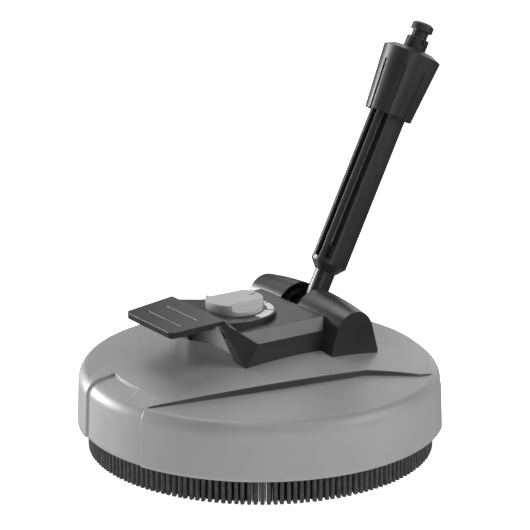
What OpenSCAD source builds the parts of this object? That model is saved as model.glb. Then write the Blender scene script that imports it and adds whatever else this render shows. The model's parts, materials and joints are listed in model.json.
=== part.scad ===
// Surface cleaner: a round hood with a brush skirt, a tilting lance, a pressure dial and a
// spray rotor that spins under the hood. Millimetres, +Z up. The origin lies on the rotor's
// axis at the level of the bristle tips, -Y is the front (handle flap), +Y the rear.

/* [Hood] */
// Diameter of the hood at its lower rim
hood_d = 300; // [298:1:320]
// Height of the lower rim above the ground
rim_z = 22.5; // [20:0.5:26]
// Wall thickness of the hood
hood_wall = 2.8; // [2.4:0.1:3.2]
// Height of the crown at the axis
crown_z = 90; // [88:0.5:90.5]

/* [Brush] */
// Distance from the rim's radius in to the outer bristles
skirt_inset = 8.5; // [7:0.5:10]
// Thickness of one row of bristles
row_w = 4.2; // [3.5:0.1:4.6]

/* [Top cover] */
// Half width of the deck between its chamfers
deck_half = 44; // [42:0.5:46]
// Height of the deck
deck_z = 114; // [112:0.5:115]
// Half width of the cover's side walls
side_half = 49; // [48:0.5:50]
// Distance from the middle to the outer face of each hinge cheek
cheek_x = 64; // [61:0.5:66]

/* [Lance] */
// Tilt of the lance above the horizontal, towards the rear
lance_tilt = 63.45; // [45:0.5:85]
// Outer diameter of the lance sleeve
sleeve_d = 30.2; // [28:0.2:32]
// Length from the hinge axis to the lower face of the collar
collar_at = 174.5; // [160:0.5:190]

/* [Rotor] */
// Distance from the axis to each nozzle
nozzle_r = 108; // [96:1:108]
// Direction of the spray arms at rest
rotor_angle = 35; // [0:5:90]

/* [Hidden] */
$fn = 96;

plastic_black = [0.16, 0.16, 0.17];
plastic_grey = [0.58, 0.58, 0.58];
knob_grey = [0.68, 0.68, 0.68];
bristle_grey = [0.22, 0.22, 0.22];
steel = [0.7, 0.7, 0.72];
brass = [0.72, 0.58, 0.3];
rubber = [0.08, 0.08, 0.08];
gap = 0.05;          // running and assembly clearance
hair = 0.025;        // half of it, on each side of a fixed joint
cut = 1;             // how far a cutting shape runs past the surface it opens
fine = 360;          // facets of the large section arcs

// hood
hood_r = hood_d / 2;
wall_top_r = hood_r - 1.4;                 // the wall leans in by its moulding draft
edge_r = 14;                               // rounding between wall and crown
edge_z = crown_z - 33;
edge_centre_r = wall_top_r - edge_r;
crown_rise = crown_z - edge_z;             // the crown's radius makes it tangent to the rounding
crown_r = (pow(edge_centre_r, 2) + pow(crown_rise, 2) - pow(edge_r, 2))
  / (2 * (crown_rise - edge_r));
floor_top_z = crown_z - 8;                 // lower crown of the two side crescents
floor_r = 750;
hub_hole_r = 21;
flange_r = 32;                             // seat of the bearing housing under the crown
flange_z = 77;
housing_screw_r = 26.5;

// recessed sectors of the wall: from, to (degrees from the front), inner radius, depth
nose_recess = [-13.4, 17.3, hood_r - 24, 2];
tail_recess = [135, 225, hood_r - 12, 2];

// plateau between the crescents: an arc that widens to the rear, then a straight flank
plateau_arc = [-260.2, 42.7, 351.6];       // x, y, radius of the arc on the +X side
plateau_bend = [91.2, 38];
plateau_wide = [105.2, 83];
plateau_rear = [103.4, 104];

// brush
carrier_z = 25;
carrier_top = 33;
bristle_r = hood_r - skirt_inset;
row_pitch = 5.6;
rows = [bristle_r - row_w / 2, bristle_r - row_w / 2 - row_pitch];
carrier_out = hood_r - 5.4;
carrier_in = bristle_r - row_w - row_pitch - 1.2;
seat_depth = 4;
shelf_in = carrier_in - 10;                // shelf inside the carrier for its screws
shelf_z = 30;
carrier_screw_r = carrier_in - 5;
post_r = 5;
post_top = [70, 72.5];                     // under the crescents, under the plateau

// cover
cover_wall = 2.6;
cover_front = -46.7;                       // foot of the side walls, front
cover_low = 70;                            // the cover is trimmed to the hood from this height up
foot_z = 85;
chamfer_z = deck_z - 10.5;
deck_rear = 31;
hinge_y = 48.5;
hinge_z = 102.4;
hinge_r = 22;                              // radius of the hinge barrel at the middle
barrel_narrows = 5.2;                      // how much the barrel narrows at its ends
barrel_r = (pow(cheek_x, 2) + pow(barrel_narrows, 2)) / (2 * barrel_narrows);
gap_left = -15;                            // opening between the cheeks, left face
gap_right = 9.5;
bridge_z = 88;                             // floor of that opening
cap_x = 43;                                // joint face of the pivot cap
arm_top = [-64, -56];                      // front and rear of the arms' top faces
arm_z = deck_z + 7.4;
ramp_foot_y = -49;
arm_lean = 8.45;
arm_taper = 13.6;
recess_half = 33.5;                        // finger space between the arms
recess_arc = [-154, 113];                  // y and radius of its rounded back wall
cavity = [-38.5, 27];                      // inside of the cover, front and rear
main_y = -30;
post_x = 40;
cover_posts = [[-post_x, -28], [post_x, -28], [-36, 64], [36, 64]];
screw_seat_z = 78;

// handle and dial
boss_y = -25.5;
boss_r = 34;
boss_z = deck_z + 4.5;
knob_r = 23.3;
knob_z = boss_z + 0.25;
knob_top = boss_z + 9.3;
flap_rear = [-60, deck_z + 11];
flap_front = [-107, deck_z + 7.5];
flap_rear_half = 39;
flap_front_half = 34.5;
flap_t = 3.4;
lip = 1.6;
handle_screw_x = 37.2;
handle_screw_y = -59;

// water path
duct_x = -36;
duct_z = 99;
duct_r = 7;
spigot_r = 6;
bore_r = 3.5;
block_z = 91;
block_top = 106;
neck_z = 82;                               // foot of the valve body inside the bearing housing
neck_outer = 12;

// swivel
socket_end = -cheek_x + 6;
socket_body_r = 14.5;
socket_ring_r = 16.4;
socket_ring_x = -22;
socket_face = gap_left + 3;                // the socket stands proud of its cheek
flange_x = -26;
seat_r = 20;
hollow_r = 14.6;
stub_r = 9;
stub_x = [-46, 27.5];
clip_x = -44.5;
seal_x = [-42.4, -30.4];
seal_w = 2.4;
seal_floor = 6.8;
bush_r = 12.5;

// lance, distances along its axis from the hinge axis
neck_r = 8.6;
cone_at = 35.8;
sleeve_at = 42.7;
sleeve_wall = 2.3;
sleeve_end = collar_at + 47.5;
collar_top = collar_at + 53.9;
collar_r1 = 20;
collar_r2 = 24.5;
plug_neck_at = collar_at + 67.3;
plug_head_at = collar_at + 73.9;
plug_tip_at = collar_at + 80.7;
plug_r = 9.4;
plug_neck_r = 6.7;
plug_head_r = 9.1;
plug_flange_r = 12;
pipe_r = 6;
pipe_end = sleeve_end - 2.1;

// rotor
axle_r = 6;
axle_low = 34;
axle_top = 88;
axle_bore = 3;
collar_z = 56.2;
bearing_z = 59.6;
bearing_h = 10;
bearing_r = 15;
ball_ring_r = 10.3;
ball_r = 1.98;
housing_low = 57;
flange_low = 73;
seal_z = 71;
hub_r = 13;
hub_z = [39, 56];
nut_r = 9.5;
hub_arm_r = 7.6;
hub_arm_x = 24;
arm_seat_x = 12;
jet_z = 46;
arm_r = 5;
arm_bore = 2.5;
holder_r = 7.4;
jet_tilt = 28;
jet_seat = -6;
jet_r = 4.5;

// ---------- shared shapes ----------

module at_hinge() {
  translate([0, hinge_y, hinge_z]) children();
}

module along_lance() {
  at_hinge() rotate([lance_tilt - 90, 0, 0]) children();
}

// round bar along Z, X or Y between two positions
module rod(r, from, to) {
  translate([0, 0, from]) cylinder(r = r, h = to - from);
}

module rod_x(r, from, to) {
  rotate([0, 90, 0]) rod(r, from, to);
}

module rod_y(r, from, to) {
  rotate([-90, 0, 0]) rod(r, from, to);
}

module tube(r, bore, from, to) {
  difference() {
    rod(r, from, to);
    rod(bore, from - cut, to + cut);
  }
}

module tube_x(r, bore, from, to) {
  rotate([0, 90, 0]) tube(r, bore, from, to);
}

module mirror_copy() {
  children();
  mirror([1, 0, 0]) children();
}

// outline seen along X, extruded between two planes
module side_slab(from, to, points) {
  translate([from, 0, 0]) rotate([90, 0, 90]) linear_extrude(height = to - from) polygon(points);
}

// screw with its head on z = 0, pointing up
module cap_screw(r, head_r, head_h, length) {
  rod(r, 0, length);
  rod(head_r, -head_h, 0);
}

// ---------- hood and brush ----------

// half of the hood's crowned section, offset inwards by t
module hood_section(t, top, r_crown) {
  f = edge_r - t;
  tangent_r = edge_centre_r * (1 + f / (crown_r - edge_r));
  intersection() {
    union() {
      square([tangent_r, crown_z - t / 2]);
      translate([edge_centre_r, edge_z]) circle(r = f);
      polygon([[0, -cut], [hood_r - t, -cut], [hood_r - t, rim_z],
               [wall_top_r - t, edge_z], [0, edge_z]]);
    }
    translate([0, top - r_crown]) circle(r = r_crown - t, $fn = fine);
    square([hood_r + cut, crown_z + cut]);
  }
}

module hood_crown(t) {
  rotate_extrude() hood_section(t, crown_z, crown_r);
}

// plan of one crescent on the +X side
module crescent_plan() {
  difference() {
    translate([0, -hood_r]) square([hood_r + cut, hood_d]);
    translate([plateau_arc[0], plateau_arc[1]]) circle(r = plateau_arc[2], $fn = 2 * fine);
    polygon([[0, plateau_bend[1]], plateau_bend, plateau_wide, plateau_rear,
             [plateau_rear[0], hood_d], [0, hood_d]]);
  }
}

// everything above the lower crown in the two side crescents, grown inwards by the wall t
module crescents(t) {
  grow = t > 0 ? t + 0.2 : 0;
  mirror_copy() difference() {
    translate([-grow, 0, edge_z - 2]) linear_extrude(height = crown_z) crescent_plan();
    rotate_extrude() hood_section(t, floor_top_z, floor_r);
  }
}

// outer skin of the hood in one recessed sector; the inner side spreads by a degree
module recess(s, t) {
  spread = t > 0 ? 1 : 0;
  difference() {
    rotate([0, 0, s[0] - spread - 90]) rotate_extrude(angle = s[1] - s[0] + 2 * spread)
      translate([s[2] - t, -cut]) square([2 * edge_r, crown_z + cut]);
    hood_crown(t + s[3]);
  }
}

// hood as a full body, offset inwards by t
module hood_solid(t) {
  difference() {
    hood_crown(t);
    crescents(t);
    recess(nose_recess, t);
    recess(tail_recess, t);
  }
}

module cover_screw_places() {
  for (p = cover_posts) translate([p[0], p[1], 0]) children();
}

module housing_screw_places() {
  for (a = [45 : 90 : 359]) rotate([0, 0, a]) translate([housing_screw_r, 0, 0]) children();
}

module carrier_places() {
  for (a = [22.5 : 45 : 359]) rotate([0, 0, a]) translate([carrier_screw_r, 0, 0]) children();
}

// posts that carry the brush ring, shorter on the two sides where the crescents dip
module carrier_posts() {
  for (a = [22.5 : 45 : 359]) rotate([0, 0, a]) translate([carrier_screw_r, 0, 0])
    rod(post_r, carrier_top, abs(cos(a)) > 0.7 ? post_top[0] : post_top[1]);
}

module hood() {
  skin = 0.8;
  color(plastic_grey) difference() {
    union() {
      difference() {
        hood_solid(0);
        hood_solid(hood_wall);
        rod(hood_r + cut, -2 * cut, rim_z);
      }
      carrier_posts();
      intersection() {
        union() {
          rod(flange_r, flange_z, crown_z);
          cover_screw_places() rod(post_r, screw_seat_z, crown_z);
        }
        hood_crown(skin);
      }
    }
    rod(hub_hole_r, 0, crown_z + cut);
    cover_screw_places() rod(2.3, 60, crown_z + cut);
    carrier_places() rod(1.6, carrier_top - cut, carrier_top + 18);
    housing_screw_places() rod(1.7, 60, 85);
  }
}

module brush_carrier() {
  color(plastic_black) difference() {
    union() {
      tube(carrier_out, carrier_in, carrier_z, carrier_top);
      tube(carrier_in + cut, shelf_in, shelf_z, carrier_top);
    }
    for (r = rows)
      tube(r + row_w / 2 + gap, r - row_w / 2 - gap, carrier_z - cut, carrier_z + seat_depth);
    carrier_places() rod(2.2, carrier_z - cut, carrier_top + cut);
  }
}

module bristle_row(r) {
  color(bristle_grey) tube(r + row_w / 2, r - row_w / 2, 0, carrier_z + seat_depth);
}

module bristles_outer() {
  bristle_row(rows[0]);
}

module bristles_inner() {
  bristle_row(rows[1]);
}

module carrier_screws() {
  color(steel) carrier_places() translate([0, 0, shelf_z]) cap_screw(1.55, 3.6, 2.4, 14);
}

// ---------- top cover ----------

// crowned barrel round the hinge axis, between two planes
module barrel(from, to) {
  at_hinge() rotate([0, 90, 0]) rotate_extrude() intersection() {
    translate([0, from]) square([hinge_r, to - from]);
    translate([hinge_r - barrel_r, 0]) circle(r = barrel_r, $fn = fine);
  }
}

// flanks of a hinge cheek, from the barrel down to the hood, grown by g
module cheek_flanks(from, to, g) {
  side_slab(from, to,
    [[25.6 - g, cover_low], [25.6 - g, 86], [27.6 - g, 95.3], [32.4 - g, 108.4],
     [64.6 + g, 108.4], [67.9 + g, 96.3], [71.3 + g, 84], [71.3 + g, cover_low]]);
}

module cheek(from, to) {
  barrel(from, to);
  cheek_flanks(from, to, 0);
}

// room for the pivot cap in the rear corner of the deck
module cap_room() {
  cheek_flanks(cap_x, side_half + cut, gap);
  at_hinge() rod_x(hinge_r - pow(cap_x, 2) / (2 * barrel_r) + gap, cap_x, side_half + cut);
}

// side outline of the cover, from the slanted arms to the rear of the deck
module cover_block() {
  side_slab(-side_half, side_half,
    [[cover_front, cover_low], [cover_front, foot_z], [arm_top[0], arm_z], [arm_top[1], arm_z],
     [ramp_foot_y, deck_z], [deck_rear, deck_z], [deck_rear, cover_low]]);
}

// wedges that bevel the deck's edges and the outer faces of the arms above it
module deck_bevels() {
  run = side_half - deck_half;
  rise = deck_z - chamfer_z;
  mirror_copy() translate([side_half, 0, chamfer_z]) rotate([90, 0, 0])
    linear_extrude(height = hood_d, center = true)
      polygon([[0, 0], [-2 * run, 2 * rise], [side_half, 2 * rise], [side_half, 0]]);
}

// outer faces of the arms: a plane that leans inwards and narrows to the front
module arm_bevels() {
  mirror_copy() translate([side_half, cover_front, foot_z]) rotate([0, -arm_lean, -arm_taper])
    translate([0, -hood_r, -hood_r]) cube([hood_r, hood_d, hood_d]);
}

// space for the fingers between the arms, with a rounded back wall
module finger_recess() {
  intersection() {
    translate([-recess_half, -hood_r, cover_low])
      cube([2 * recess_half, hood_r, arm_z - cover_low + cut]);
    translate([0, recess_arc[0], 0]) rod(recess_arc[1], cover_low, arm_z + cut);
  }
}

module cover_inner() {
  t = cover_wall;
  roof_half = deck_half - t - 1.4;
  translate([t - side_half, cavity[0], 0])
    cube([2 * (side_half - t), cavity[1] - cavity[0], chamfer_z]);
  translate([-roof_half, cavity[0], 0])
    cube([2 * roof_half, cavity[1] - cavity[0], deck_z - t]);
}

module top_cover() {
  stud_top = 107;
  color(plastic_black) difference() {
    union() {
      difference() {
        cover_block();
        deck_bevels();
        arm_bevels();
        finger_recess();
        cover_inner();
      }
      cheek(-cheek_x, gap_left);
      cheek(gap_right, cap_x);
      translate([gap_left - cut, 28, cover_low])
        cube([gap_right - gap_left + 2 * cut, 43, bridge_z - cover_low]);
      for (side = [-1, 1]) translate([side * post_x, cover_posts[0][1], 0])
        rod(4.4, cover_low, stud_top);
    }
    cap_room();
    at_hinge() rod_x(seat_r, flange_x, gap_left + cut);
    at_hinge() rod_x(socket_ring_r + gap, gap_left - 2 * cut, socket_face + gap);
    at_hinge() rod_x(socket_body_r + gap, socket_end - gap, flange_x + cut);
    at_hinge() rod_x(bush_r + gap, gap_right - cut, cap_x + cut);
    translate([duct_x, 0, duct_z]) rod_y(duct_r + 0.5, -duct_r - cut, hinge_y - 8);
    translate([0, boss_y, 0]) rod(spigot_r, block_top - cut, boss_z);
    cover_screw_places() rod(1.6, cover_low, 91);
    handle_screw_places() rod(1.1, deck_z, arm_z + cut);
    handle_screw_places() rod(1.9, deck_z - 6, arm_z - 3.2);
    hood_crown(-hair);
  }
}

module cover_screws() {
  color(steel) cover_screw_places() translate([0, 0, screw_seat_z]) cap_screw(1.55, 3.8, 2.4, 12);
}

module pivot_cap() {
  color(plastic_black) difference() {
    union() {
      cheek(cap_x + gap, cheek_x);
      at_hinge() rod_x(bush_r, cap_x - 10, cap_x + 2);
    }
    at_hinge() rod_x(10, cap_x - 11, cheek_x - 4);
    hood_crown(-hair);
  }
}

// ---------- handle and dial ----------

module handle_screw_places() {
  for (side = [-1, 1]) translate([side * handle_screw_x, handle_screw_y, 0]) children();
}

module handle_screws() {
  color(steel) handle_screw_places() translate([0, 0, arm_z - 3.2]) cap_screw(1, 1.8, 2, 5.8);
}

// plan of the boss: round at the rear, flaring forward to the flap
module boss_plan() {
  translate([0, boss_y]) circle(r = boss_r);
  polygon([[-boss_r, boss_y], [boss_r, boss_y], [flap_rear_half, flap_rear[0]],
           [-flap_rear_half, flap_rear[0]]]);
}

// boss with the ramp that climbs from the dial to the flap
module boss_body() {
  ramp_top = flap_rear[1] - 2.4;
  intersection() {
    translate([0, 0, deck_z]) linear_extrude(height = 2 * boss_r) boss_plan();
    side_slab(-side_half, side_half,
      [[-62, deck_z + hair], [-62, ramp_top], [-34, boss_z], [boss_r, boss_z],
       [boss_r, deck_z + hair]]);
  }
}

// space that the arms and the ramp of the cover take under the handle plate
module arm_clearance() {
  side_slab(-side_half, side_half,
    [[-70, cover_low], [arm_top[0] - cut, arm_z + gap], [arm_top[1], arm_z + gap],
     [ramp_foot_y, deck_z + hair], [main_y, deck_z + hair], [main_y, cover_low]]);
}

// blade of the flap: a tapered plate with rounded front corners and a turned-down lip
module flap_blade() {
  pitch = atan2(flap_rear[1] - flap_front[1], flap_rear[0] - flap_front[0]);
  length = norm(flap_rear - flap_front);
  groove_y = [-17, -34];
  translate([0, flap_rear[0], flap_rear[1]]) rotate([pitch, 0, 0]) difference() {
    translate([0, 0, -flap_t - lip]) linear_extrude(height = flap_t + lip) blade_plan(length, 0);
    translate([0, 0, -flap_t - 2 * lip]) linear_extrude(height = 2 * lip) blade_plan(length, 3);
    for (y = groove_y) translate([-25, y, -0.7]) cube([50, 1.6, cut]);
    translate([-side_half, -9, -flap_t - 2 * lip]) cube([2 * side_half, 20, 2 * lip]);
  }
}

module blade_plan(length, inset) {
  corner = 5;
  rear = flap_rear_half - inset;
  front = flap_front_half - inset;
  end = length - inset;
  polygon([[-rear, 0], [rear, 0], [front, corner - end], [front - corner, -end],
           [corner - front, -end], [-front, corner - end]]);
  for (side = [-1, 1]) translate([side * (front - corner), corner - end]) circle(r = corner);
}

module handle_plate() {
  color(plastic_black) difference() {
    union() {
      flap_blade();
      boss_body();
    }
    arm_clearance();
    translate([0, boss_y, 0]) rod(spigot_r, deck_z - cut, boss_z + cut);
    translate([0, boss_y, 0]) rod(knob_r + 0.7, boss_z, boss_z + boss_r);
    dial_segments(boss_z - 0.3, boss_z + cut);
    handle_screw_places() rod(1.05, arm_z, arm_z + 3);
  }
}

// graduated ring sectors beside the dial: from, to, inner and outer radius
module dial_segments(low, high) {
  sectors = [[88, 104, 29.2, 31.6], [52, 85, 26.6, 32], [8, 48, 24.3, 32.2]];
  for (s = sectors) translate([0, boss_y, low]) rotate([0, 0, s[0]])
    rotate_extrude(angle = s[1] - s[0]) translate([s[2], 0]) square([s[3] - s[2], high - low]);
}

module dial_marks() {
  color("white") dial_segments(boss_z - 0.3, boss_z);
}

// round base with a raised bar across it, hollowed at both sides
module pressure_knob() {
  base_t = 3.2;
  bar_half = 11.5;
  scoop_r = 12;
  mark = [2, 6, 0.4];
  color(knob_grey) translate([0, boss_y, 0]) difference() {
    rod(knob_r, knob_z, knob_top);
    mirror_copy() intersection() {
      translate([bar_half + scoop_r + 1, 0, knob_z + base_t + scoop_r]) rod_y(scoop_r, -16, 30);
      translate([bar_half, -14, knob_z + base_t]) cube([knob_r, 2 * knob_r, knob_r]);
    }
    rod(knob_r - 4.8, knob_z - cut, knob_z + 1.75);
    difference() {
      rod(3.2 + gap, knob_z, knob_top - 2.3);
      translate([2 + gap, -knob_r, knob_z]) cube([knob_r, 2 * knob_r, knob_r]);
    }
    translate([-mark[0] / 2, 14.5, knob_top - mark[2]]) cube([mark[0], mark[1], cut]);
  }
}

module knob_marker() {
  mark = [2, 6, 0.4];
  color(plastic_black) translate([hair - mark[0] / 2, boss_y + 14.5 + hair, knob_top - mark[2]])
    cube([mark[0] - gap, mark[1] - gap, mark[2]]);
}

module valve_spindle() {
  flat_z = knob_z - 0.3;
  color(steel) translate([0, boss_y, 0]) difference() {
    union() {
      rod(3.2, 96.5, knob_top - 2.8);
      rod(5, 98.5, 101.6);
      rod(5, 104.5, 112);
    }
    translate([2, -5, flat_z]) cube([5, 10, 10]);
  }
}

module spindle_o_ring() {
  color(rubber) translate([0, boss_y, 0]) tube(5, 3.2 + gap, 101.7, 104.4);
}

// ---------- valve ----------

module valve_body() {
  block_x = 12;
  duct_end = 33.8;
  color(brass) difference() {
    union() {
      translate([-block_x, -37, block_z]) cube([2 * block_x, 44, block_top - block_z]);
      translate([duct_x, 0, duct_z]) rod_y(duct_r, 0, duct_end);
      translate([duct_x, 0, duct_z]) sphere(r = duct_r);
      translate([0, 0, duct_z]) rod_x(duct_r, duct_x, -block_x + cut);
      rod(neck_outer, neck_z, block_z + cut);
    }
    translate([duct_x, 0, duct_z]) rod_y(bore_r, 0, duct_end + cut);
    translate([duct_x, 0, duct_z]) sphere(r = bore_r);
    translate([0, 0, duct_z]) rod_x(bore_r, duct_x, 0);
    translate([duct_x, 0, duct_z]) rod_y(spigot_r + gap, duct_end - 6, duct_end + cut);
    rod(axle_r + gap, neck_z - cut, block_z);
    rod(bore_r, block_z - cut, duct_z);
    translate([0, 0, duct_z]) rod_y(bore_r, boss_y, 0);
    translate([0, boss_y, 0]) rod(5 + gap, 96, block_top + cut);
    translate([0, boss_y, 0]) rod(7, 93, 96);
  }
}

module valve_seat() {
  color(steel) translate([0, boss_y, 0]) tube(6.95, 2.6, 93 + hair, 96 - gap);
}

// ---------- swivel ----------

module swivel_socket() {
  color(plastic_black) difference() {
    union() {
      at_hinge() rod_x(socket_body_r, socket_end, flange_x + 2);
      at_hinge() rod_x(seat_r - gap, flange_x + gap, socket_ring_x);
      at_hinge() rod_x(socket_ring_r, socket_ring_x - cut, socket_face);
      translate([duct_x, 0, duct_z]) rod_y(spigot_r, 29, 40);
    }
    at_hinge() rod_x(stub_r + gap, socket_end + 3, socket_face + cut);
    at_hinge() rod_x(11.6, socket_end + 3, seal_x[0] - 1);
    at_hinge() rod_x(hollow_r, socket_ring_x + 1, socket_face + cut);
    translate([duct_x, 0, duct_z]) rod_y(bore_r, 28, 42);
    hood_crown(-hair);
  }
}

module pivot_bush() {
  color(plastic_black) at_hinge() tube_x(bush_r, stub_r + gap, gap_right + 1, 30);
}

module swivel_elbow() {
  water_x = duct_x;
  stub_bore = 3.2;
  color(plastic_black) difference() {
    union() {
      at_hinge() rod_x(stub_r, stub_x[0], stub_x[1]);
      along_lance() rod(neck_r, 0, cone_at + 22);
    }
    at_hinge() for (x = seal_x) tube_x(stub_r + cut, seal_floor, x, x + seal_w + 0.2);
    at_hinge() tube_x(stub_r + cut, 7.8, clip_x, clip_x + 1.1);
    at_hinge() tube_x(stub_r + cut, seal_floor, water_x - 2.5, water_x + 2.5);
    at_hinge() rod_x(stub_bore, water_x - bore_r, 2);
    at_hinge() for (a = [0 : 90 : 359]) translate([water_x, 0, 0]) rotate([a, 0, 0]) rod(1.6, 2, 8);
    along_lance() rod(bore_r, 0, cone_at + 23);
    along_lance() rod(pipe_r + hair, cone_at + 10, cone_at + 23);
  }
}

module swivel_o_rings() {
  color(rubber) at_hinge() for (x = seal_x)
    tube_x(stub_r, seal_floor + gap, x + 0.1, x + 0.1 + seal_w);
}

module swivel_clip() {
  color(steel) at_hinge() tube_x(11.5, 7.8 + gap, clip_x + gap, clip_x + 1.05);
}

// ---------- lance ----------

module lance_pipe() {
  color(plastic_black) along_lance() tube(pipe_r, bore_r, cone_at + 10.1, pipe_end);
}

module lance_sleeve() {
  r = sleeve_d / 2;
  slot_half = 11;
  color(plastic_black) along_lance() difference() {
    union() {
      rod(r, sleeve_at, sleeve_end);
      translate([0, 0, cone_at]) cylinder(r1 = neck_r + 0.6, r2 = r, h = sleeve_at - cone_at);
    }
    rod(r - sleeve_wall, sleeve_at + 2.5, sleeve_end + cut);
    rod(neck_r + gap, 0, 100);
    for (a = [-41, 0, 41]) rotate([0, 0, a - 90 - slot_half]) translate([0, 0, sleeve_at + 3.6])
      rotate_extrude(angle = 2 * slot_half) translate([r - 4, 0]) square([8, 142]);
  }
}

// union nut: an eight-step grip that widens upwards, closed by a conical shoulder
module bayonet_collar() {
  step = 1;
  shoulder = 3.4;
  grip = collar_top - collar_at;
  flare = atan2(collar_r2 - collar_r1, grip);
  color(plastic_black) along_lance() difference() {
    union() {
      translate([0, 0, collar_at]) cylinder(r1 = collar_r1, r2 = collar_r2, h = grip);
      translate([0, 0, collar_top]) cylinder(r1 = collar_r2, r2 = collar_r2 - 7, h = shoulder);
    }
    rod(sleeve_d / 2 + gap, collar_at - cut, sleeve_end);
    rod(plug_flange_r + gap, sleeve_end - cut, collar_top + 1.2);
    rod(plug_r + gap, sleeve_end, plug_tip_at);
    for (a = [0 : 45 : 359]) rotate([0, 0, a - 48.5]) translate([0, 0, collar_at - cut])
      rotate([0, flare, 0]) translate([collar_r1 - step, 0, 0]) rotate([0, 0, 3])
        cube([6, 3, grip - 9]);
  }
}

module bayonet_plug() {
  lug = [3, 4, 4.4];
  tip = 1.6;
  color(plastic_black) along_lance() difference() {
    union() {
      rod(plug_flange_r, sleeve_end + 0.1, collar_top + 1.1);
      rod(plug_r, sleeve_end - 14, plug_neck_at);
      rod(plug_neck_r, plug_neck_at - cut, plug_head_at + cut);
      rod(plug_head_r, plug_head_at, plug_tip_at - tip);
      translate([0, 0, plug_tip_at - tip]) cylinder(r1 = plug_head_r, r2 = 6.6, h = tip);
      mirror_copy() translate([8, -lug[1] / 2, plug_neck_at - lug[2]]) cube(lug);
    }
    rod(bore_r, sleeve_end - 15, plug_tip_at + cut);
    rod(pipe_r + hair, sleeve_end - 15, pipe_end + 0.1);
    rod(pipe_r + lip, sleeve_end - 15, sleeve_end - 11.4);
  }
}

module plug_o_ring() {
  color(rubber) along_lance()
    tube(pipe_r + lip - gap, pipe_r + gap, sleeve_end - 13.9, sleeve_end - 11.5);
}

// ---------- rotor and its bearing ----------

module bearing_housing() {
  clip_room_r = 16.5;
  color(plastic_black) difference() {
    union() {
      rod(hub_hole_r - gap, housing_low, axle_top);
      rod(flange_r - cut, flange_low, flange_z);
    }
    rod(neck_outer + gap, neck_z - 0.1, axle_top + cut);
    rod(8, housing_low - cut, axle_top);
    rod(neck_outer + gap, seal_z - cut, seal_z + 7);
    rod(bearing_r + hair, housing_low - cut, bearing_z + bearing_h + 0.1);
    rod(clip_room_r, bearing_z - 1.4, bearing_z - 0.15);
    housing_screw_places() rod(2, flange_low - cut, flange_z + cut);
  }
}

module housing_screws() {
  color(steel) housing_screw_places() translate([0, 0, flange_low]) cap_screw(1.65, 3.6, 2.2, 11);
}

module axle_seal() {
  color(rubber) tube(neck_outer, axle_r + gap, seal_z, seal_z + 6.9);
}

// race of the ball bearing between two radii, with its groove
module race(outer, inner) {
  color(steel) difference() {
    tube(outer, inner, bearing_z, bearing_z + bearing_h);
    translate([0, 0, bearing_z + bearing_h / 2]) rotate_extrude() translate([ball_ring_r, 0])
      circle(r = ball_r + gap);
  }
}

module bearing_outer_race() {
  race(bearing_r, 12);
}

module bearing_inner_race() {
  race(8.6, axle_r + hair);
}

module bearing_balls() {
  color(steel) for (a = [0 : 45 : 359]) rotate([0, 0, a])
    translate([ball_ring_r, 0, bearing_z + bearing_h / 2]) sphere(r = ball_r);
}

module bearing_clip() {
  color(steel) rotate([0, 0, 15]) translate([0, 0, bearing_z - 1.3]) rotate_extrude(angle = 330)
    translate([13, 0]) square([3.3, 1.1]);
}

module rotor_axle() {
  clip_floor = 5.2;
  color(steel) difference() {
    union() {
      rod(axle_r, axle_low, axle_top);
      rod(8, collar_z, bearing_z - gap);
    }
    rod(axle_bore, jet_z - 2, axle_top + cut);
    turned() translate([0, 0, jet_z]) rod_x(arm_bore, -10, 10);
    tube(axle_r + cut, clip_floor, axle_low + 2, axle_low + 3.1);
  }
}

module turned() {
  rotate([0, 0, rotor_angle]) children();
}

module both_arms() {
  for (side = [0, 180]) turned() rotate([0, 0, side]) translate([0, 0, jet_z]) children();
}

module rotor_hub() {
  color(plastic_black) difference() {
    union() {
      rod(hub_r, hub_z[0], hub_z[1]);
      both_arms() rod_x(hub_arm_r, 0, hub_arm_x);
    }
    rod(axle_r + hair, hub_z[0] - cut, hub_z[1] + cut);
    both_arms() rod_x(arm_bore, 0, hub_arm_x);
    both_arms() rod_x(arm_r + hair, arm_seat_x, hub_arm_x + cut);
    rod(nut_r + 0.5, axle_low, hub_z[0]);
  }
}

module spray_arm() {
  translate([0, 0, jet_z]) tube_x(arm_r, arm_bore, arm_seat_x + 0.1, nozzle_r - 6);
}

module spray_arm_left() {
  color(steel) turned() rotate([0, 0, 180]) spray_arm();
}

module spray_arm_right() {
  color(steel) turned() spray_arm();
}

module jets() {
  both_arms() translate([nozzle_r, 0, 0]) rotate([jet_tilt, 0, 0]) children();
}

module nozzle_holders() {
  color(plastic_black) difference() {
    union() {
      both_arms() rod_x(holder_r, nozzle_r - 18, nozzle_r + holder_r);
      jets() rod(holder_r - 0.4, -14, 0);
    }
    both_arms() rod_x(arm_r + hair, nozzle_r - 19, nozzle_r - 5.9);
    both_arms() rod_x(arm_bore, nozzle_r - 10, nozzle_r);
    jets() rod(arm_bore - 0.3, jet_seat - cut, 0);
    jets() rod(jet_r + hair, -15, jet_seat);
  }
}

module nozzles() {
  color(brass) jets() difference() {
    union() {
      rod(jet_r, -15, jet_seat - 0.1);
      rod(jet_r + 1.1, -17.5, -14.1);
    }
    rod(0.6, -18, 0);
    rod(2.2, -13, 0);
  }
}

module hub_nut() {
  color(steel) difference() {
    translate([0, 0, hub_z[0] - 1.8]) cylinder(r = nut_r, h = 1.75, $fn = 6);
    rod(axle_r + hair, axle_low, hub_z[1]);
  }
}

module axle_clip() {
  color(steel) translate([0, 0, axle_low + 2 + gap]) rotate_extrude(angle = 320)
    translate([5.25, 0]) square([3.2, 1]);
}

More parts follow.
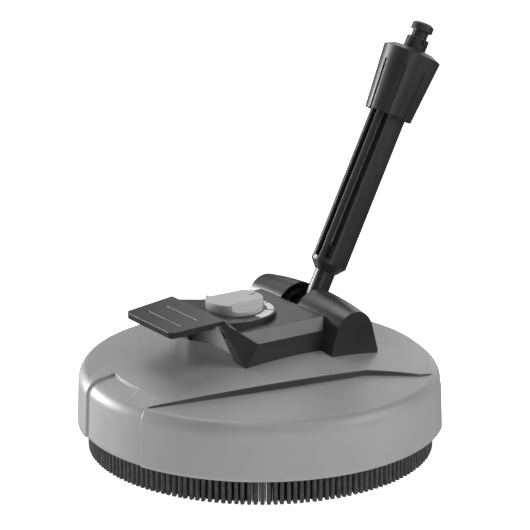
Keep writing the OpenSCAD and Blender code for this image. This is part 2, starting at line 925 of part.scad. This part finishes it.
hood();
brush_carrier();
bristles_outer();
bristles_inner();
carrier_screws();
top_cover();
handle_plate();
handle_screws();
dial_marks();
pivot_cap();
cover_screws();
valve_body();
swivel_socket();
pivot_bush();
bearing_housing();
housing_screws();
bearing_outer_race();
axle_seal();
bearing_clip();
valve_seat();
swivel_elbow();
swivel_o_rings();
swivel_clip();
lance_pipe();
lance_sleeve();
bayonet_collar();
bayonet_plug();
plug_o_ring();
pressure_knob();
knob_marker();
valve_spindle();
spindle_o_ring();
rotor_axle();
bearing_inner_race();
bearing_balls();
rotor_hub();
hub_nut();
spray_arm_left();
spray_arm_right();
nozzle_holders();
nozzles();
axle_clip();
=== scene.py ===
import json
import math

import bpy
import numpy as np
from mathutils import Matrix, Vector


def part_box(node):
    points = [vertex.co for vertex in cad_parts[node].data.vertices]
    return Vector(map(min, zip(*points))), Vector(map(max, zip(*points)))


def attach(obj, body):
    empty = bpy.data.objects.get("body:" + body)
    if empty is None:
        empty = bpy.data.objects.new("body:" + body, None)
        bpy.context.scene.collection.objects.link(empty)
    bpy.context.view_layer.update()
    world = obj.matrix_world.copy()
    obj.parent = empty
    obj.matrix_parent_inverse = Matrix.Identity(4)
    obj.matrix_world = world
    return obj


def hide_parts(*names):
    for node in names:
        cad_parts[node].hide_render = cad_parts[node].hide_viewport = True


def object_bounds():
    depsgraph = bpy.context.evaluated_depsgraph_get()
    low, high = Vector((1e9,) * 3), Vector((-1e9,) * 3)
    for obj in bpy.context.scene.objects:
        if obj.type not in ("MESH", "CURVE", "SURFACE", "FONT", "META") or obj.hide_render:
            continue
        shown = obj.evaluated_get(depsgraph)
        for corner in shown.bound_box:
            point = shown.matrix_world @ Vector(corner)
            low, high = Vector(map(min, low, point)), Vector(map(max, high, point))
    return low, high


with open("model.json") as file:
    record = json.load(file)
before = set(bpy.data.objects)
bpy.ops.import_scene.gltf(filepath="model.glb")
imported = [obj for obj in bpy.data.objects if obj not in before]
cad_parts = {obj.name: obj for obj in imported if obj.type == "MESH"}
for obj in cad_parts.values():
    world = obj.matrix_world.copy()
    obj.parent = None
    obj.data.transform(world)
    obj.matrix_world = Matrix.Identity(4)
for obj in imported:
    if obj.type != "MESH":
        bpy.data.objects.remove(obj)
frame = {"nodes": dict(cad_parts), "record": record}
CAD_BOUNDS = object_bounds()

MM = 0.001
rng = np.random.default_rng(7)


def extent(node):
    """Lowest and highest corner of a CAD node, in millimetres."""
    return [np.array(corner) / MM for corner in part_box(node)]


# ---------------------------------------------------------------- sizes, millimetres
HOOD_LOW, HOOD_HIGH = extent("hood")
HOOD_R = round(HOOD_HIGH[0], 1)
RIM_Z = round(HOOD_LOW[2], 1)
WALL_TOP_R = HOOD_R - 1.4
EDGE_R = 14.0
CROWN_Z = RIM_Z + 67.5
EDGE_Z = CROWN_Z - 33
EDGE_CENTRE_R = WALL_TOP_R - EDGE_R
CROWN_RISE = CROWN_Z - EDGE_Z
CROWN_R = (EDGE_CENTRE_R ** 2 + CROWN_RISE ** 2 - EDGE_R ** 2) / (2 * (CROWN_RISE - EDGE_R))
TANGENT_R = EDGE_CENTRE_R * (1 + EDGE_R / (CROWN_R - EDGE_R))
WALL = 2.8
HOLE_R = 21.0
FLANGE_R = 32.0
FLANGE = (77.0, 88.0)
FLOOR_TOP_Z = CROWN_Z - 8
FLOOR_R = 750.0
ARC = (-260.2, 42.7, 351.6)
FLANK = [(91.2, 38.0), (105.2, 83.0), (103.4, 104.0), (103.4, 170.0)]
FILLET_END = HOLE_R + CROWN_R * (math.asin(TANGENT_R / CROWN_R) - math.asin(HOLE_R / CROWN_R)) \
    + EDGE_R * (math.pi / 2 - math.asin(TANGENT_R / CROWN_R))
RIM_RUN = FILLET_END + math.hypot(HOOD_R - WALL_TOP_R, EDGE_Z - RIM_Z)
NOSE_FROM = -13.4
NOSE_TO = 17.3
NOSE_FADE = (5.2, 7.4)
NOSE_IN = HOOD_R - 24
TAIL_FROM = 135.0
TAIL_IN = HOOD_R - 12
RECESS = 2.0
STEP = 0.95
AIM_SHARE = 0.4521            # camera aim as a share of the height

CARRIER_HIGH = extent("brush_carrier")[1]
POST_R = 5.0
RING_POSTS = CARRIER_HIGH[0] - 19.1
RING_POST_TOP = (69.8, 72.2)
RING_POST_BORE = 1.6
COVER_POSTS = ((-40, -28, 86), (40, -28, 86), (-36, 64, 82.6), (36, 64, 82.6))
COVER_POST_LOW = 78
COVER_POST_BORE = 2.3

TUFTS = 172
TUFT_DEPTH = 4.1
FILAMENT_R = 0.45
TUFT_TOP = 28.5


# ---------------------------------------------------------------- helpers
def new_object(name, verts, faces, smooth=True):
    """A mesh object from vertices in millimetres and its faces."""
    mesh = bpy.data.meshes.new(name)
    mesh.from_pydata((np.asarray(verts, float) * MM).tolist(), [], faces)
    mesh.validate()
    mesh.update()
    if smooth:
        mesh.polygons.foreach_set("use_smooth", [True] * len(mesh.polygons))
    obj = bpy.data.objects.new(name, mesh)
    bpy.context.scene.collection.objects.link(obj)
    return obj


def ease(t):
    t = np.clip(t, 0, 1)
    return t * t * (3 - 2 * t)


class Shell:
    """Collects vertices and faces of one piece."""

    def __init__(self):
        self.verts, self.faces, self.count = [], [], 0

    def add(self, verts, faces):
        verts = np.asarray(verts, float)
        self.verts.append(verts)
        self.faces += [tuple(i + self.count for i in f) for f in faces]
        self.count += len(verts)

    def grid(self, rings, close_rows=True, cap_first=False, cap_last=False):
        """rings: array (m, n, 3), each ring closed on itself."""
        m, n = rings.shape[:2]
        faces = []
        for i in range(m - 1 + (1 if not close_rows else 0)):
            a, b = i * n, ((i + 1) % m) * n
            for j in range(n):
                k = (j + 1) % n
                faces.append((a + j, a + k, b + k, b + j))
        if cap_first:
            faces.append(tuple(range(n))[::-1])
        if cap_last:
            faces.append(tuple((m - 1) * n + j for j in range(n)))
        self.add(rings.reshape(-1, 3), faces)

    def turned(self, profile, centre=(0, 0), n=48):
        """A closed profile of (r, z) turned round a vertical axis."""
        a = np.linspace(0, 2 * math.pi, n, endpoint=False)
        rings = np.stack([np.stack([centre[0] + r * np.cos(a), centre[1] + r * np.sin(a), np.full(n, z)], -1)
                          for r, z in profile])
        self.grid(rings, close_rows=False)

    def build(self, name, smooth=True):
        return new_object(name, np.concatenate(self.verts), self.faces, smooth)


def tube_profile(r, bore, low, high):
    return [(bore, low), (r, low), (r, high), (bore, high)]


# ---------------------------------------------------------------- hood
def hood_profile():
    """Outer section from the hub hole to the rim: r, z, normal r, normal z, arc length."""
    top = math.asin(TANGENT_R / CROWN_R)
    a = np.linspace(math.asin(HOLE_R / CROWN_R), top, 900)
    crown = np.stack([CROWN_R * np.sin(a), CROWN_Z - CROWN_R + CROWN_R * np.cos(a), np.sin(a), np.cos(a)], -1)
    a = np.linspace(top, math.pi / 2, 240)[1:]
    edge = np.stack([EDGE_CENTRE_R + EDGE_R * np.sin(a), EDGE_Z + EDGE_R * np.cos(a),
                     np.sin(a), np.cos(a)], -1)
    lean = math.atan2(HOOD_R - WALL_TOP_R, EDGE_Z - RIM_Z)
    t = np.linspace(0, 1, 120)[1:]
    wall = np.stack([WALL_TOP_R + (HOOD_R - WALL_TOP_R) * t, EDGE_Z + (RIM_Z - EDGE_Z) * t,
                     np.full(len(t), math.cos(lean)), np.full(len(t), math.sin(lean))], -1)
    rows = np.concatenate([crown, edge, wall])
    step = np.hypot(np.diff(rows[:, 0]), np.diff(rows[:, 1]))
    return np.column_stack([rows, HOLE_R + np.concatenate([[0], np.cumsum(step)])])


def plateau_edge(y):
    """x of the plateau's edge and its slope, at each y."""
    arc = ARC[0] + np.sqrt(np.maximum(ARC[2] ** 2 - (y - ARC[1]) ** 2, 1))
    arc_slope = -(y - ARC[1]) / (arc - ARC[0])
    fy = np.array([p[1] for p in FLANK])
    fx = np.array([p[0] for p in FLANK])
    flank = np.interp(y, fy, fx)
    seg = np.clip(np.searchsorted(fy, y) - 1, 0, len(fy) - 2)
    flank_slope = (fx[seg + 1] - fx[seg]) / (fy[seg + 1] - fy[seg])
    rear = y > FLANK[0][1]
    return np.where(rear, flank, arc), np.where(rear, flank_slope, arc_slope)


def feature_run(phi, prof):
    """Arc length at which each column crosses a step, so that mesh rows can gather there."""
    x = prof[:, None, 0] * np.sin(np.radians(np.abs(phi)))
    y = -prof[:, None, 0] * np.cos(np.radians(phi))
    outside = x > plateau_edge(y)[0]
    first = np.where(outside.any(0), outside.argmax(0), len(prof) - 1)
    run = prof[first, 4]
    side = np.abs(phi)
    run = np.where((phi > NOSE_FROM) & (phi < NOSE_TO), NOSE_IN, run)
    run = np.where(side > TAIL_FROM, TAIL_IN, run)
    kernel = np.ones(5) / 5
    run = np.minimum(run, FILLET_END - 3)
    return np.convolve(np.concatenate([run[-2:], run, run[:2]]), kernel, "valid")


def column_angles():
    """Angles from the front, gathered round the straight radial steps."""
    even = np.linspace(-180, 180, 900, endpoint=False)
    near = np.linspace(-0.7, 0.7, 15)
    extra = [at + near for at in (NOSE_FROM, NOSE_TO, -TAIL_FROM, TAIL_FROM)]
    keep = np.ones(len(even), bool)
    for at in (NOSE_FROM, NOSE_TO, -TAIL_FROM, TAIL_FROM):
        keep &= np.abs(even - at) > 0.8
    return np.sort(np.concatenate([even[keep]] + extra))


def hood_rows(gather, counts):
    """Arc lengths of the mesh rows for every column."""
    def span(low, high, n):
        return low + (high - low) * np.linspace(0, 1, n, endpoint=False)[:, None]
    near = 1.3
    zero = 0 * gather
    return np.concatenate([span(HOLE_R + zero, gather - near, counts[0]),
                           span(gather - near, gather + near, counts[1]),
                           span(gather + near, FILLET_END + zero, counts[2]),
                           span(FILLET_END + zero, RIM_RUN + zero, counts[3]), RIM_RUN + zero[None, :]])


def hood_points(phi, rows, prof, inset):
    """Surface points for a grid of angles and arc lengths, offset inwards, with the painted shade weight of the
    crescent steps.
    """
    r0, z0, nr, nz = (np.interp(rows, prof[:, 4], prof[:, k]) for k in range(4))
    r, z = r0 - inset * nr, z0 - inset * nz
    sin, cos = np.sin(np.radians(phi)), -np.cos(np.radians(phi))
    edge, slope = plateau_edge(r0 * cos)
    dist = (np.abs(r0 * sin) - edge) / np.sqrt(1 + slope ** 2)
    side = ease((dist + 0.1) / STEP)
    floor_z = FLOOR_TOP_Z - FLOOR_R + np.sqrt(FLOOR_R ** 2 - r0 ** 2)
    over = z0 - floor_z
    drop = (over + np.sqrt(over ** 2 + 0.06)) / 2
    fall = drop * ease((z0 - 60) / 4)
    z = z - side * fall
    left = r0 * np.sin(np.radians(np.clip(phi - NOSE_FROM, -60, 60)))
    right = r0 * np.sin(np.radians(np.clip(NOSE_TO - phi, -60, 60)))
    melt = ease((phi - NOSE_FADE[0]) / (NOSE_FADE[1] - NOSE_FADE[0]))
    inner = (rows - NOSE_IN + 0.1) / (STEP + 16 * melt)
    nose = ease((left + 0.1) / STEP) * ease((right + 0.6) / 2.2) * ease(inner)
    to_tail = r0 * np.sin(np.radians(np.clip(np.abs(phi) - TAIL_FROM, -60, 60)))
    tail = ease((to_tail + 0.1) / STEP) * ease((rows - TAIL_IN + 0.1) / STEP)
    depth = RECESS * np.maximum(nose, tail)
    r, z = r - depth * nr, z - depth * nz
    # painted shade: weight of the steep step faces beside the crescents, whose colour is darkened to stand for
    # the shade they lie in
    riser_painted_shade = ease((dist + 0.25) / 0.3) * (1 - ease((dist - 0.75) / 0.3)) * ease((fall - 0.3) / 0.8)
    return np.stack([r * sin, r * cos, z], -1), riser_painted_shade


def shade(obj, values):
    """Point attribute the hood's finish darkens with: painted shade in the steps that face away from the light.
    """
    full = np.zeros(len(obj.data.vertices))
    full[:values.size] = values.ravel()
    obj.data.attributes.new("riser_painted_shade", "FLOAT", "POINT").data.foreach_set("value", full)


def make_hood():
    prof = hood_profile()
    phi = column_angles()
    gather = feature_run(phi, prof)
    outer, riser_painted_shade = hood_points(phi, hood_rows(gather, (64, 18, 26, 14)), prof, 0.0)
    inner, _ = hood_points(phi, hood_rows(gather, (12, 4, 8, 4)), prof, WALL)
    inner[-1, :, 2] = RIM_Z
    shell = Shell()
    shell.grid(np.concatenate([outer, inner[::-1]]), close_rows=False)
    shell.turned(tube_profile(FLANGE_R, HOLE_R + 0.01, *FLANGE), n=96)
    for k in range(8):
        a = math.radians(22.5 + 45 * k)
        top = RING_POST_TOP[0 if abs(math.cos(a)) > 0.7 else 1]
        place = (RING_POSTS * math.cos(a), RING_POSTS * math.sin(a))
        shell.turned(tube_profile(POST_R, RING_POST_BORE, CARRIER_HIGH[2], top), place, 32)
    for x, y, top in COVER_POSTS:
        shell.turned(tube_profile(POST_R, COVER_POST_BORE, COVER_POST_LOW, top), (x, y), 32)
    hood = shell.build("hood_shell")
    shade(hood, riser_painted_shade)
    return hood


# ---------------------------------------------------------------- brush
HEXAGON = np.linspace(0, 2 * math.pi, 6, endpoint=False)


def filament(radius, angle, u, v, lean, tip):
    """Rings of one bristle, from its tip up to its seat."""
    rings = []
    levels = ((TUFT_TOP, 0.92, 0.46), (14, 0.97, 0.46), (2.0, 1.0, 0.45), (0.7, 1.0, 0.42), (tip, 1.0, 0.22))
    for z, spread, rad in levels:
        across = u * spread + lean * (TUFT_TOP - z) / TUFT_TOP
        out = radius + v * spread
        cx = out * math.cos(angle) - across * math.sin(angle)
        cy = out * math.sin(angle) + across * math.cos(angle)
        rings.append(np.stack([cx + rad * np.cos(HEXAGON), cy + rad * np.sin(HEXAGON), np.full(6, z)], -1))
    return np.stack(rings[::-1])


def make_tufts(name, node, phase, width):
    """Bundles of filaments set in a ring, standing on the ground, in the CAD node's place."""
    radius = extent(node)[1][0] - 2.1
    shell = Shell()
    across, along = 5, 4
    for k in range(TUFTS):
        angle = 2 * math.pi * (k + phase) / TUFTS
        lean = rng.normal(0, 0.25)
        for i in range(across):
            for j in range(along):
                u = (i - (across - 1) / 2) / (across - 1) * (width - 2 * FILAMENT_R)
                v = (j - (along - 1) / 2) / (along - 1) * (TUFT_DEPTH - 2 * FILAMENT_R)
                if i in (0, across - 1) and j in (0, along - 1):
                    u *= 0.86
                    v *= 0.86
                u += rng.normal(0, 0.05)
                v += rng.normal(0, 0.05)
                tip = abs(rng.normal(0, 0.18))
                shell.grid(filament(radius, angle, u, v, lean, tip), cap_first=True, cap_last=True)
    return shell.build(name)


# ---------------------------------------------------------------- materials
def mix_rgb(colour, k):
    return tuple(max(0, min(1, c * k)) for c in colour) + (1,)


def surface(name, colour, rough, spread=0.06, scale=60, grain=900, bump=0.15, metal=0.0, edge=0.0, spec=0.5):
    """Procedural finish: mottled colour and gloss, fine grain, softened edges."""
    m = bpy.data.materials.new(name)
    m.use_nodes = True
    nt = m.node_tree
    bsdf = nt.nodes["Principled BSDF"]
    bsdf.inputs["Metallic"].default_value = metal
    bsdf.inputs["Specular IOR Level"].default_value = spec
    coord = nt.nodes.new("ShaderNodeTexCoord")
    cloud = nt.nodes.new("ShaderNodeTexNoise")
    cloud.inputs["Scale"].default_value = scale
    cloud.inputs["Detail"].default_value = 4
    nt.links.new(coord.outputs["Object"], cloud.inputs["Vector"])
    ramp = nt.nodes.new("ShaderNodeValToRGB")
    ramp.color_ramp.elements[0].position = 0.3
    ramp.color_ramp.elements[1].position = 0.7
    ramp.color_ramp.elements[0].color = mix_rgb(colour, 1 - spread)
    ramp.color_ramp.elements[1].color = mix_rgb(colour, 1 + spread)
    nt.links.new(cloud.outputs["Fac"], ramp.inputs["Fac"])
    nt.links.new(ramp.outputs["Color"], bsdf.inputs["Base Color"])
    gloss = nt.nodes.new("ShaderNodeMapRange")
    gloss.inputs["To Min"].default_value = max(0.02, rough - 0.05)
    gloss.inputs["To Max"].default_value = min(1, rough + 0.05)
    nt.links.new(cloud.outputs["Fac"], gloss.inputs["Value"])
    nt.links.new(gloss.outputs["Result"], bsdf.inputs["Roughness"])
    fine = nt.nodes.new("ShaderNodeTexNoise")
    fine.inputs["Scale"].default_value = grain
    fine.inputs["Detail"].default_value = 2
    nt.links.new(coord.outputs["Object"], fine.inputs["Vector"])
    b = nt.nodes.new("ShaderNodeBump")
    b.inputs["Strength"].default_value = bump
    b.inputs["Distance"].default_value = 0.0002
    nt.links.new(fine.outputs["Fac"], b.inputs["Height"])
    if edge > 0:
        soft = nt.nodes.new("ShaderNodeBevel")
        soft.samples = 6
        soft.inputs["Radius"].default_value = edge * MM
        nt.links.new(soft.outputs["Normal"], b.inputs["Normal"])
    nt.links.new(b.outputs["Normal"], bsdf.inputs["Normal"])
    return m


FINISH = {
    "hood_plastic": surface("hood_plastic", (0.335, 0.335, 0.335), 0.42, 0.03, 30, 1400, 0.10, spec=0.8),
    "black_plastic": surface("black_plastic", (0.022, 0.022, 0.0225), 0.36, 0.10, 50, 1100, 0.15,
                             edge=0.8, spec=0.875),
    "knob_plastic": surface("knob_plastic", (0.52, 0.52, 0.52), 0.42, 0.03, 40, 1200, 0.10, edge=0.8, spec=0.4),
    "white_mark": surface("white_mark", (0.85, 0.85, 0.85), 0.5, 0.03, 60, 1200, 0.05),
    "bristle": surface("bristle", (0.075, 0.075, 0.075), 0.45, 0.30, 260, 2000, 0.10),
    "bristle_inner": surface("bristle_inner", (0.012, 0.012, 0.012), 0.5, 0.30, 260, 2000, 0.10),
    "inner_plastic": surface("inner_plastic", (0.016, 0.016, 0.0165), 0.42, 0.10, 60, 900, 0.12, spec=0.5),
    "steel": surface("steel", (0.60, 0.60, 0.62), 0.28, 0.05, 90, 1500, 0.05, metal=1.0),
    "brass": surface("brass", (0.62, 0.45, 0.18), 0.30, 0.06, 80, 1500, 0.05, metal=1.0),
    "rubber": surface("rubber", (0.012, 0.012, 0.012), 0.65, 0.15, 80, 1200, 0.15),
}


def paint_riser_shade(material, colour):
    """Mixes painted shade, a darker tone, into the hood's colour along the steps beside its crescents."""
    nt = material.node_tree
    bsdf = nt.nodes["Principled BSDF"]
    base = bsdf.inputs["Base Color"].links[0].from_socket
    painted_shade_weight = nt.nodes.new("ShaderNodeAttribute")
    painted_shade_weight.attribute_name = "riser_painted_shade"
    mix = nt.nodes.new("ShaderNodeMix")
    mix.data_type = "RGBA"
    nt.links.new(painted_shade_weight.outputs["Fac"], mix.inputs["Factor"])
    nt.links.new(base, mix.inputs["A"])
    # the dark tone that stands for the shade on the step faces
    mix.inputs["B"].default_value = colour + (1,)
    nt.links.new(mix.outputs["Result"], bsdf.inputs["Base Color"])


def paint(obj, slot_name, finish=None):
    """Gives a piece the finish of its record slot, or another finish if one is named."""
    obj.data.materials.clear()
    obj.data.materials.append(FINISH[finish or slot_name])


def paint_cad():
    for sub in frame["record"]["subparts"]:
        obj = frame["nodes"][sub["node"]]
        obj.data.materials.clear()
        obj.data.materials.append(FINISH[sub["material_slot"]])


# ---------------------------------------------------------------- stage
def make_stage():
    size = 14.0
    mesh = bpy.data.meshes.new("floor")
    corners = [(-size, -size, 0), (size, -size, 0), (size, size, 0), (-size, size, 0)]
    mesh.from_pydata(corners, [], [(0, 1, 2, 3)])
    floor = bpy.data.objects.new("floor", mesh)
    bpy.context.scene.collection.objects.link(floor)
    floor.location.z = -0.0005
    paper = surface("floor_paper", (0.6, 0.6, 0.6), 0.9, 0.01, 3, 300, 0.02, spec=0.1)
    glow = paper.node_tree.nodes["Principled BSDF"]
    glow.inputs["Emission Color"].default_value = (1, 1, 1, 1)
    glow.inputs["Emission Strength"].default_value = 1.14
    floor.data.materials.append(paper)
    floor.visible_glossy = False


def towards(azimuth, elevation):
    """Unit vector to a place seen from the object; azimuth 0 is in front, 90 on the +X side."""
    a, e = math.radians(azimuth), math.radians(elevation)
    return Vector((math.sin(a) * math.cos(e), -math.cos(a) * math.cos(e), math.sin(e)))


def area_light(name, azimuth, elevation, distance, size, power, target=(0, 0, 0.08)):
    """Soft light on a sphere round the object."""
    data = bpy.data.lights.new(name, "AREA")
    data.shape = "RECTANGLE"
    data.size, data.size_y = size
    data.energy = power
    light = bpy.data.objects.new(name, data)
    bpy.context.scene.collection.objects.link(light)
    back = towards(azimuth, elevation)
    light.location = Vector(target) + back * distance
    light.rotation_euler = (-back).to_track_quat("-Z", "Y").to_euler()
    return light


def make_lights():
    world = bpy.data.worlds.new("studio")
    bpy.context.scene.world = world
    world.use_nodes = True
    back = world.node_tree.nodes["Background"]
    back.inputs["Color"].default_value = (1, 1, 1, 1)
    back.inputs["Strength"].default_value = 0.02
    area_light("key_left", -60, 7, 1.6, (0.75, 0.75), 30)
    area_light("rear_right", 127, 28, 1.6, (0.9, 0.8), 8)
    area_light("top_left", -90, 68, 1.6, (0.9, 0.9), 7.7)
    area_light("top_right", 75, 68, 1.6, (0.9, 0.9), 5)
    area_light("fill_left", -90, 38, 1.6, (0.9, 0.8), 1.7)
    area_light("back_low", 210, 8, 1.6, (0.75, 0.75), 2.4)
    area_light("back", 225, 34, 1.6, (0.9, 0.8), 3.2)
    area_light("fill_right", 60, 8, 1.6, (0.75, 0.75), 1.8)


def make_camera():
    """The photograph's viewing angle, with a long lens."""
    back, distance = towards(55.9, 16.71465), 2.0
    aim = CAD_BOUNDS[1][2] * AIM_SHARE
    data = bpy.data.cameras.new("camera")
    data.sensor_width = 36
    data.lens = 168.3
    data.shift_x = 0.00855
    data.clip_start = 0.05
    cam = bpy.data.objects.new("camera", data)
    bpy.context.scene.collection.objects.link(cam)
    cam.location = Vector((0, 0, aim)) + back * distance
    cam.rotation_euler = (-back).to_track_quat("-Z", "Y").to_euler()
    bpy.context.scene.camera = cam


# ---------------------------------------------------------------- assembly
def main():
    # painted shade: dark grey mixed into the hood's colour on the crescent steps
    paint_riser_shade(FINISH["hood_plastic"], (0.05, 0.05, 0.05))
    paint_cad()
    hood = make_hood()
    paint(hood, "hood_plastic")
    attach(hood, "root")
    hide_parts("hood")
    for name, node, phase, width, finish in (("tufts_outer", "bristles_outer", 0.0, 3.3, "bristle"),
                                             ("tufts_inner", "bristles_inner", 0.5, 5.6, "bristle_inner")):
        tufts = make_tufts(name, node, phase, width)
        paint(tufts, "bristle", finish)
        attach(tufts, "root")
        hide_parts(node)
    make_stage()
    make_lights()
    make_camera()
    scene = bpy.context.scene
    scene.view_settings.view_transform = "Standard"
    scene.view_settings.look = "None"


main()
